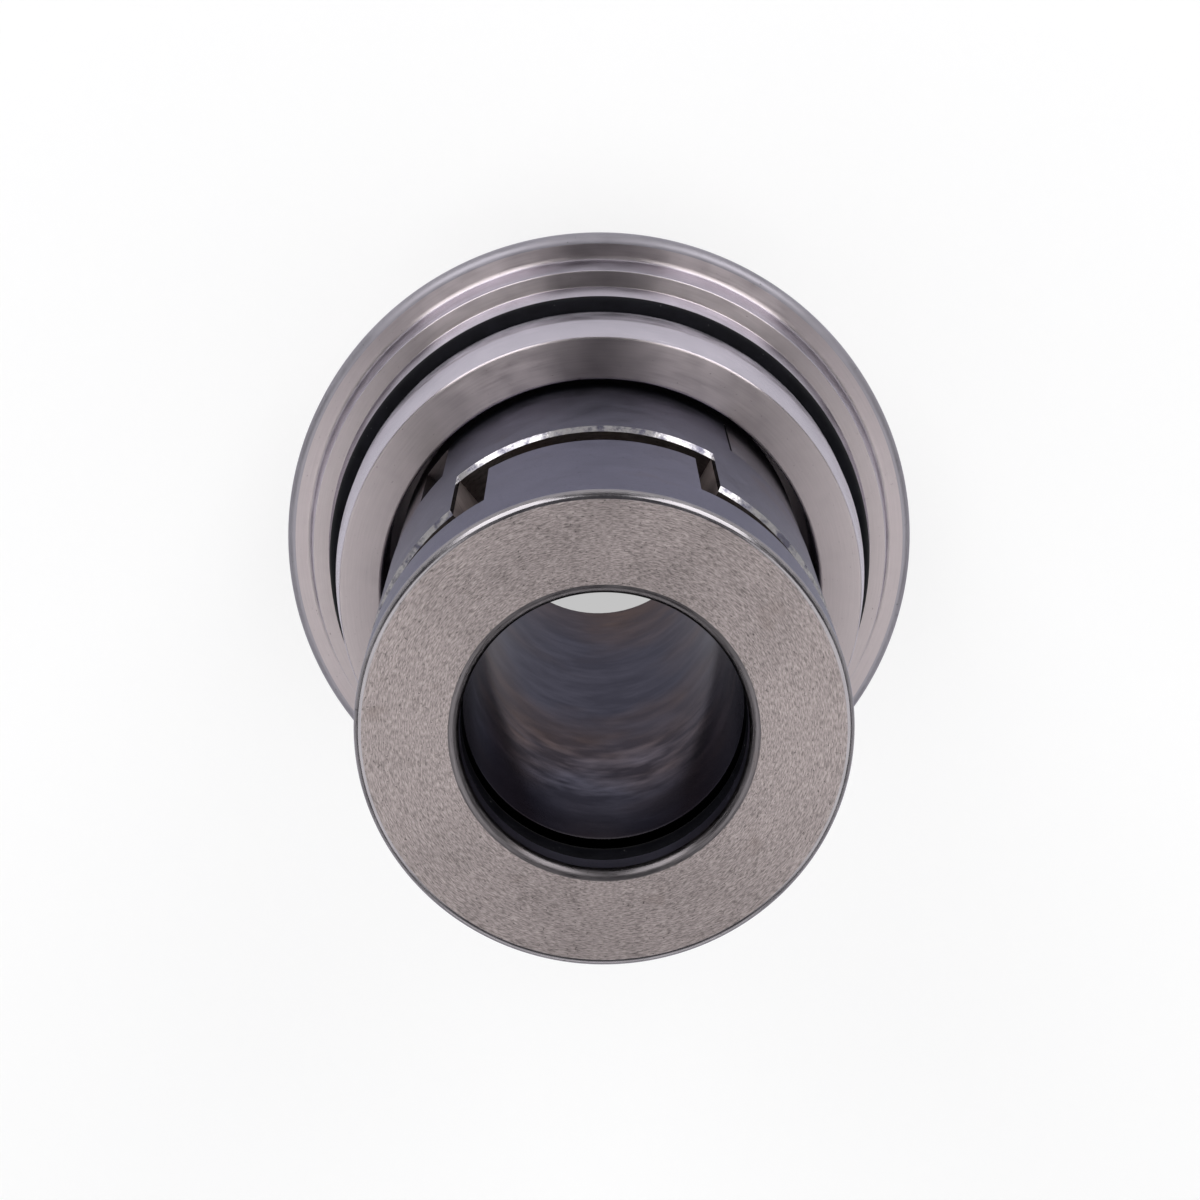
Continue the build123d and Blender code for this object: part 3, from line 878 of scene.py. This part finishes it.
class SEAL_OT_drive_ring(bpy.types.Operator):
    """Build the wet-end ring with its ground face and rear tongues"""

    bl_idname = "seal.drive_ring"
    bl_label = "Drive ring"

    def execute(self, context):
        """A turned outline whose tongue tips rise to the shoulder outside the two tongue spans.

        The front face's rim, the mouth of the bore and the cord groove take the last three finishes.
        """
        seal = settings()
        size = seal.drive_ring
        hub_bore = SLEEVE_R + size.hub_fit
        groove_top = size.front - size.land_height
        corners = [
            (hub_bore, size.hub_base, 0),
            (size.hub_radius, size.hub_base, 0),
            (size.hub_radius, size.shoulder, 0),
            (size.tongue_bore, size.shoulder, 0),
            (size.tongue_bore, size.tip, 0),
            (size.radius, size.tip, 0),
            (size.radius, size.front, size.front_rounding),
            (size.land_bore, size.front, size.bore_rounding),
            (size.land_bore, groove_top, 0),
            (size.groove_radius, groove_top, 0),
            (size.groove_radius, SLEEVE_TOP_Z, 0),
            (hub_bore, SLEEVE_TOP_Z, 0),
        ]
        profile, owners = rounded(corners, seal.arc_steps)
        grid = tongued(profile, seal.steps, size, size.shoulder)
        rim = arc_rows(owners, RIM_CORNER)
        lead_in = arc_rows(owners, MOUTH_CORNER)
        # The cord groove's rows take the dark painted shade finish.
        groove = np.isin(owners, GROOVE_CORNERS)
        finishes = 2 * rim + 3 * lead_in + 4 * groove
        mesh = grid_mesh("ground_drive_ring", grid, True, finishes)
        piece = new_piece(
            mesh, "sleeve_unit", "ground_steel", "drive_ring", turned_steel("ground_steel"), rubbed_edge(),
            turned_steel("rim_steel"), turned_steel("lead_in_steel"), shared("oily_steel", turned_steel),
        )
        rub_edges(piece, size.wear)
        return {"FINISHED"}


class SEAL_OT_coupling_ring(bpy.types.Operator):
    """Build the loose middle ring with its slots and notches"""

    bl_idname = "seal.coupling_ring"
    bl_label = "Coupling ring"

    def execute(self, context):
        """A ring wall whose upper rows drop in the slots and whose lower rows rise in the notches.

        The chamfer is rubbed, the top with the slots' floors is oily, and the slots' flanks are dull.
        """
        seal = settings()
        size = seal.coupling_ring
        outline = np.array([
            (size.bore, size.base),
            (size.radius, size.base),
            (size.radius, size.top - size.chamfer),
            (size.radius - size.chamfer, size.top),
            (size.bore, size.top),
        ])
        slots = flank_angles(size.heading, size.slot_span)
        tongues = flank_angles(size.heading, size.tongue_span)
        angles = stepped_angles(seal.steps, slots, tongues)
        drop = np.where(within(angles, size.heading, size.slot_span), size.slot_floor - size.top, 0.0)
        rise = np.where(within(angles, size.heading, size.tongue_span), 0.0, size.notch_floor - size.base)
        upper = outline[:, 1] > (size.base + size.top) / 2
        columns = lifted(outline, upper, drop) + lifted(outline, ~upper, rise) - outline
        flank = (np.roll(drop, -1) != drop)[:, None]
        # The top with the slots' floors takes painted shade; the flanks take a lighter steel that is partly
        # painted light.
        finishes = np.where(flank, [0, 0, 1, 3, 0], [0, 0, 1, 2, 0])
        mesh = grid_mesh("slotted_coupling_ring", turned(columns, angles), True, finishes)
        piece = new_piece(
            mesh, "coupling_unit", "coupling_steel", "coupling_ring", turned_steel("coupling_steel"),
            rubbed_edge(), shared("oily_steel", turned_steel), turned_steel("slot_wall_steel"),
        )
        rub_edges(piece, size.wear)
        return {"FINISHED"}


class SEAL_OT_holder(bpy.types.Operator):
    """Build the dark cup that drives the rotary face"""

    bl_idname = "seal.holder"
    bl_label = "Face holder"

    def execute(self, context):
        """A turned outline whose tongue tips sink to the web outside the two tongue spans."""
        seal = settings()
        size = seal.holder
        outline = np.array([
            (size.skirt_bore, size.base),
            (size.radius, size.base),
            (size.radius, size.tip),
            (size.tongue_bore, size.tip),
            (size.tongue_bore, size.web_top),
            (size.web_bore, size.web_top),
            (size.web_bore, size.web_base),
            (size.skirt_bore, size.web_base),
        ])
        mesh = grid_mesh("tongued_face_holder", tongued(outline, seal.steps, size, size.web_top), True)
        finish = turned_steel("holder_steel")
        piece = new_piece(mesh, "face_unit", "holder_steel", "face_holder", finish, rubbed_edge())
        rub_edges(piece, size.wear)
        return {"FINISHED"}


class SEAL_OT_carrier(bpy.types.Operator):
    """Build the still carrier with its flange, steps, groove and nose"""

    bl_idname = "seal.carrier"
    bl_label = "Seal carrier"

    def execute(self, context):
        """One outline from the lip round the flange and the nose, carried round the axis.

        The flange's edge takes the second finish.
        """
        seal = settings()
        size = seal.carrier
        small = size.edge_break / 2
        corners = [
            (size.lip_bore, size.base, small),
            (size.flange_radius, size.base, size.flange_rounding),
            (size.flange_radius, size.flange_top, size.flange_rounding),
            (size.shoulder_foot, size.flange_top, size.shoulder_fillet),
            (size.shoulder_radius, size.shoulder_top, small),
            (size.step_foot, size.shoulder_top, small),
            (size.step_radius, size.groove_base, small),
            (size.groove_radius, size.groove_base, small),
            (size.groove_radius, size.groove_top, small),
            (size.land_radius, size.groove_top, small),
            (size.land_radius, size.land_top, size.edge_break),
            (size.nose_radius, size.nose_top, size.edge_break),
            (size.nose_bore, size.nose_top, size.edge_break),
            (size.nose_bore, size.pocket_top, 0),
            (size.pocket_radius, size.pocket_top, 0),
            (size.pocket_radius, size.lip_top, 0),
            (size.lip_bore, size.lip_top, 0),
        ]
        profile, owners = rounded(corners, seal.arc_steps)
        edge = np.isin(owners, FLANGE_CORNERS) & np.isin(np.roll(owners, -1), FLANGE_CORNERS)
        rings = turned(profile, even_angles(seal.steps))
        mesh = grid_mesh("turned_seal_carrier", rings, True, edge.astype(int))
        new_piece(
            mesh, "carrier_unit", "turned_steel", "seal_carrier", turned_steel("carrier_steel"),
            turned_steel("flange_edge_steel"),
        )
        return {"FINISHED"}


class SEAL_OT_cords(bpy.types.Operator):
    """Build the two cords that show and finish the two inside"""

    bl_idname = "seal.cords"
    bl_label = "Rubber cords"

    def execute(self, context):
        """A cord is a circle carried round the axis at its own radius and height."""
        seal = settings()
        finish = black_rubber("black_rubber")
        lap = even_angles(seal.arc_steps * CORD_LAP, 0)
        cords = (
            ("carrier_cord", "carrier_o_ring", "carrier_unit"),
            ("shaft_cord", "shaft_o_ring", "sleeve_unit"),
        )
        for name, node, body in cords:
            radius, base, top = reach(node)
            section = (top - base) / 2
            across = radius - section + section * np.cos(lap)
            circle = np.stack([across, (base + top) / 2 + section * np.sin(lap)], axis=-1)
            mesh = grid_mesh(name, turned(circle, even_angles(seal.steps)), True)
            new_piece(mesh, body, "black_rubber", node, finish)
        finish_nodes(finish, "seat_o_ring", "rotary_face_o_ring")
        return {"FINISHED"}


class SEAL_OT_spring(bpy.types.Operator):
    """Build the spring, which shortens as the seal is pressed"""

    bl_idname = "seal.spring"
    bl_label = "Compression spring"

    def execute(self, context):
        """A circle of wire carried along a coil.

        The coil's rise is the running sum of a pitch that is one wire in the end turns and eases into a
        wider one between them, scaled to the spring's height. The wire's section stands square to the coil.
        """
        seal = settings()
        size = seal.spring
        wire_r = size.wire / 2
        mean_r = size.radius - wire_r
        turn = np.linspace(0, size.turns, size.turns * seal.arc_steps * COIL_TURN + 1)
        ease = np.clip((np.minimum(turn, size.turns - turn) - CLOSED_TURNS) / EASE_TURNS, 0, 1)
        ease = ease * ease * (3 - 2 * ease)
        closed_pitch = size.wire * CLOSED_PITCH
        height = size.top - size.base - size.wire
        pitch = closed_pitch + (height / size.turns - closed_pitch) * ease / ease.mean()
        rise = np.concatenate([[0], np.cumsum((pitch[1:] + pitch[:-1]) / 2)])
        z = size.base + wire_r + rise * height / rise[-1]
        angle = 2 * np.pi * turn
        outward = np.stack([np.cos(angle), np.sin(angle), np.zeros_like(angle)], axis=-1)
        centre = outward * mean_r
        centre[:, 2] = z
        ahead = np.gradient(centre, axis=0)
        ahead /= np.linalg.norm(ahead, axis=1)[:, None]
        up = np.cross(outward, ahead)
        lap = even_angles(seal.arc_steps * WIRE_LAP, 0)
        swell = np.ones(len(centre) + 2) * wire_r
        swell[[0, -1]] = 0
        rows = np.concatenate([[0], np.arange(len(centre)), [len(centre) - 1]])
        ring = np.cos(lap)[:, None, None] * outward[rows] + np.sin(lap)[:, None, None] * up[rows]
        grid = centre[rows] + ring * swell[None, :, None]
        marks = {
            "turn": np.broadcast_to(turn[rows], grid.shape[:2]),
            "lap": np.broadcast_to(lap[:, None], grid.shape[:2]),
        }
        mesh = grid_mesh("coiled_spring", grid, False, **marks)
        finish = drawn_wire("spring_wire")
        piece = new_piece(mesh, "sleeve_unit", "spring_steel", "compression_spring", finish)
        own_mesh(piece)
        return {"FINISHED"}


class SEAL_OT_set_screws(bpy.types.Operator):
    """Build the threaded set screws of the clamp collar"""

    bl_idname = "seal.set_screws"
    bl_label = "Set screws"

    def execute(self, context):
        """Rings along the screw's axis, from the socket's floor round its rim to the blunt point.

        The thread takes a saw of its depth off the radius, whose phase is the way along the axis in
        pitches less the angle in turns, and it fades out at both ends. The socket's radius is its half
        width over the cosine of the angle to the nearest flat.
        """
        seal = settings()
        size = seal.screws
        lap = even_angles(seal.arc_steps * SCREW_LAP, 0)[:, None]
        hexagon = size.socket / np.cos((lap + np.pi / 6) % (np.pi / 3) - np.pi / 6)
        way = np.linspace(size.tip + size.point, size.end, seal.arc_steps * SCREW_LENGTH)
        phase = (way / size.pitch - lap / (2 * np.pi)) % 1.0
        fade = np.clip(np.minimum(way - way[0], way[-1] - way) / (size.pitch / 2), 0, 1)
        cut = size.depth * np.abs(2 * phase - 1)
        shank = size.radius - size.depth * 0.5 * (1 - fade) - cut * fade
        plain = np.ones_like(lap)
        floor_z = size.end - size.socket_depth
        radii = [plain * 0, hexagon, hexagon, shank[:, ::-1], plain * (size.radius - size.point), plain * 0]
        heights = [floor_z, floor_z, size.end, way[::-1], size.tip, size.tip]
        radius = np.concatenate(radii, axis=1)
        height = np.broadcast_to(np.concatenate([np.atleast_1d(row) for row in heights]), radius.shape)
        crest = np.clip(((radius - size.radius) / size.depth + CREST_REACH) / CREST_FADE, 0, 1)
        finish = blackened_steel("screw_black")
        for number in range(size.count):
            heading = size.heading + 2 * np.pi * number / size.count
            outward = np.array([np.cos(heading), np.sin(heading), 0.0])
            sideways = np.array([-np.sin(heading), np.cos(heading), 0.0])
            upward = np.array([0.0, 0.0, 1.0])
            grid = height[..., None] * outward + (radius * np.cos(lap))[..., None] * sideways
            grid = grid + (radius * np.sin(lap) + size.height)[..., None] * upward
            mesh = grid_mesh(f"threaded_set_screw_{number + 1}", grid, False, wear=crest)
            new_piece(mesh, "sleeve_unit", "screw_steel", f"set_screw_{number + 1}", finish)
        return {"FINISHED"}


class SEAL_OT_sleeve(bpy.types.Operator):
    """Finish the sleeve, the clamp collar and the retaining ring"""

    bl_idname = "seal.sleeve"
    bl_label = "Sleeve and collar"

    def execute(self, context):
        """The CAD shapes stay and take turned finishes."""
        finish_nodes(polished_bore("sleeve_steel"), "shaft_sleeve")
        finish_nodes(turned_steel("collar_steel"), "clamp_collar")
        finish_nodes(turned_steel("clip_steel"), "retaining_ring")
        return {"FINISHED"}


class SEAL_OT_face_rings(bpy.types.Operator):
    """Finish the two silicon carbide face rings"""

    bl_idname = "seal.face_rings"
    bl_label = "Face rings"

    def execute(self, context):
        """The CAD shapes stay and take the lapped finish."""
        finish_nodes(lapped_carbide("silicon_carbide"), "rotary_face", "seat_ring")
        return {"FINISHED"}


class SEAL_OT_hardware(bpy.types.Operator):
    """Finish the pins and the thrust washer"""

    bl_idname = "seal.hardware"
    bl_label = "Pins and washer"

    def execute(self, context):
        """The CAD shapes stay and take a plain turned finish."""
        finish = turned_steel("hardware_steel")
        finish_nodes(finish, "thrust_washer", "face_pin_1", "face_pin_2", "seat_pin_1", "seat_pin_2")
        return {"FINISHED"}


class SEAL_OT_stage(bpy.types.Operator):
    """Set up the pale floor, the soft lamps, the sky and the camera"""

    bl_idname = "seal.stage"
    bl_label = "Stage"

    def execute(self, context):
        """The floor is a flat disc that sweeps up into a low round wall, carried round the axis."""
        seal = settings()
        stage = seal.stage
        self.lay_floor(seal)
        self.hang_sky(seal.colours.sky)
        lamps = (
            ("side_box_left", stage.boxes, 1),
            ("side_box_right", stage.boxes, -1),
            ("top_panel_left", stage.panels, 1),
            ("top_panel_right", stage.panels, -1),
            ("rear_panel", stage.rear, 1),
        )
        for name, lamp, side in lamps:
            self.hang_lamp(name, lamp, side * lamp.turn)
        lens = bpy.data.cameras.new("photo_camera")
        lens.lens = stage.lens
        lens.clip_start = CLIP_START
        camera = bpy.data.objects.new("photo_camera", lens)
        camera.location = stage.camera
        camera.rotation_mode = "ZXY"
        camera.rotation_euler = stage.tilt
        context.scene.collection.objects.link(camera)
        context.scene.camera = camera
        context.scene.view_settings.view_transform = "Standard"
        return {"FINISHED"}

    def hang_lamp(self, name, size, turn):
        """Soft rectangular lamp at a turn from +Y and a rise above the floor, facing the seal."""
        aim = Vector((0, 0, FRONT_Z / 2))
        flat = cos(size.rise)
        place = Vector((-sin(turn) * flat, cos(turn) * flat, sin(size.rise))) * size.distance
        lamp = bpy.data.lights.new(name, "AREA")
        lamp.shape = "RECTANGLE"
        lamp.size = size.width
        lamp.size_y = size.height
        lamp.energy = size.power
        holder = bpy.data.objects.new(name, lamp)
        holder.location = place
        holder.rotation_euler = (aim - place).to_track_quat("-Z", "Y").to_euler()
        holder.visible_camera = False
        bpy.context.scene.collection.objects.link(holder)

    def lay_floor(self, seal):
        """Flat disc, quarter sweep and wall as one profile carried round the axis.

        The floor is lit as a pale surface, and what is seen or mirrored of it is mixed with plain white.
        """
        stage = seal.stage
        bend = np.linspace(0, np.pi / 2, SWEEP_STEPS + 1)
        radius = stage.floor_radius + stage.sweep * np.sin(bend)
        height = stage.sweep * (1 - np.cos(bend))
        radius = np.concatenate([[0.0, stage.floor_radius / 2], radius, radius[-1:]])
        height = np.concatenate([[0.0, 0.0], height, height[-1:] + stage.wall])
        profile = np.stack([radius, height + cad_low.z - FLOOR_GAP], axis=-1)
        mesh = grid_mesh("pale_floor", turned(profile, even_angles(FLOOR_STEPS)), False)
        floor = bpy.data.objects.new("pale_floor", mesh)
        material, shader, place, tones = new_finish("pale_floor", 0.0)
        shader.inputs["Base Color"].default_value = rgba(tones.floor)
        shader.inputs["Roughness"].default_value = FLOOR_ROUGHNESS
        shader.inputs["Specular IOR Level"].default_value = FLOOR_GLOSS
        tree = material.node_tree
        path = tree.nodes.new("ShaderNodeLightPath").outputs
        white = tree.nodes.new("ShaderNodeEmission").outputs[0]
        mirrored = calc("MAXIMUM", path["Is Glossy Ray"], path["Is Transmission Ray"])
        seen = calc("MAXIMUM", path["Is Camera Ray"], mirrored)
        distance = round_the_axis(place)[1]
        near = span_to(distance, stage.white_inner, stage.white_outer, stage.floor_white, 0.0)
        # Under the seal less plain white is mixed in, which is painted shade, so that the floor's real shadow
        # shows darker there.
        under = span_to(distance, SLEEVE_R, FLANGE_R, stage.white_under, 1.0)
        feeds = {0: times(times(seen, near), under), 1: shader.outputs[0], 2: white}
        shown = put("ShaderNodeMixShader", feeds).outputs[0]
        tree.links.new(shown, tree.nodes["Material Output"].inputs["Surface"])
        floor.data.materials.append(material)
        bpy.context.scene.collection.objects.link(floor)

    def hang_sky(self, tint):
        """Even soft light from above."""
        world = bpy.data.worlds.new("soft_sky")
        world.use_nodes = True
        background = world.node_tree.nodes["Background"]
        background.inputs["Color"].default_value = rgba(tint)
        bpy.context.scene.world = world


class SEAL_PT_panel(bpy.types.Panel):
    """Sidebar panel that lists the seal's pieces"""

    bl_idname = "SEAL_PT_panel"
    bl_label = "Cartridge seal"
    bl_space_type = "VIEW_3D"
    bl_region_type = "UI"
    bl_category = "Seal"

    def draw(self, context):
        """One button for each step, then the shared settings."""
        for step in STEPS:
            self.layout.operator(step.bl_idname)
        self.layout.prop(context.scene.seal, "steps")
        self.layout.prop(context.scene.seal, "arc_steps")


GROUPS = (
    SealDriveRing, SealCouplingRing, SealHolder, SealCarrier, SealSpring, SealScrews, SealColours, SealBoxes,
    SealPanels, SealRear, SealStage, SealSettings,
)
STEPS = (
    SEAL_OT_stage, SEAL_OT_drive_ring, SEAL_OT_coupling_ring, SEAL_OT_holder, SEAL_OT_carrier, SEAL_OT_cords,
    SEAL_OT_spring, SEAL_OT_set_screws, SEAL_OT_sleeve, SEAL_OT_face_rings, SEAL_OT_hardware,
)


def register():
    """Register the settings, the operators and the panel."""
    for group in (*GROUPS, *STEPS, SEAL_PT_panel):
        bpy.utils.register_class(group)
    bpy.types.Scene.seal = PointerProperty(type=SealSettings)


def unregister():
    """Take everything off again."""
    del bpy.types.Scene.seal
    for group in reversed((*GROUPS, *STEPS, SEAL_PT_panel)):
        bpy.utils.unregister_class(group)


def main():
    """Register, run every step in order and write the sizes of the CAD box and of the dressed seal."""
    register()
    for step in STEPS:
        family, name = step.bl_idname.split(".")
        getattr(getattr(bpy.ops, family), name)()


if __name__ == "__main__":
    main()
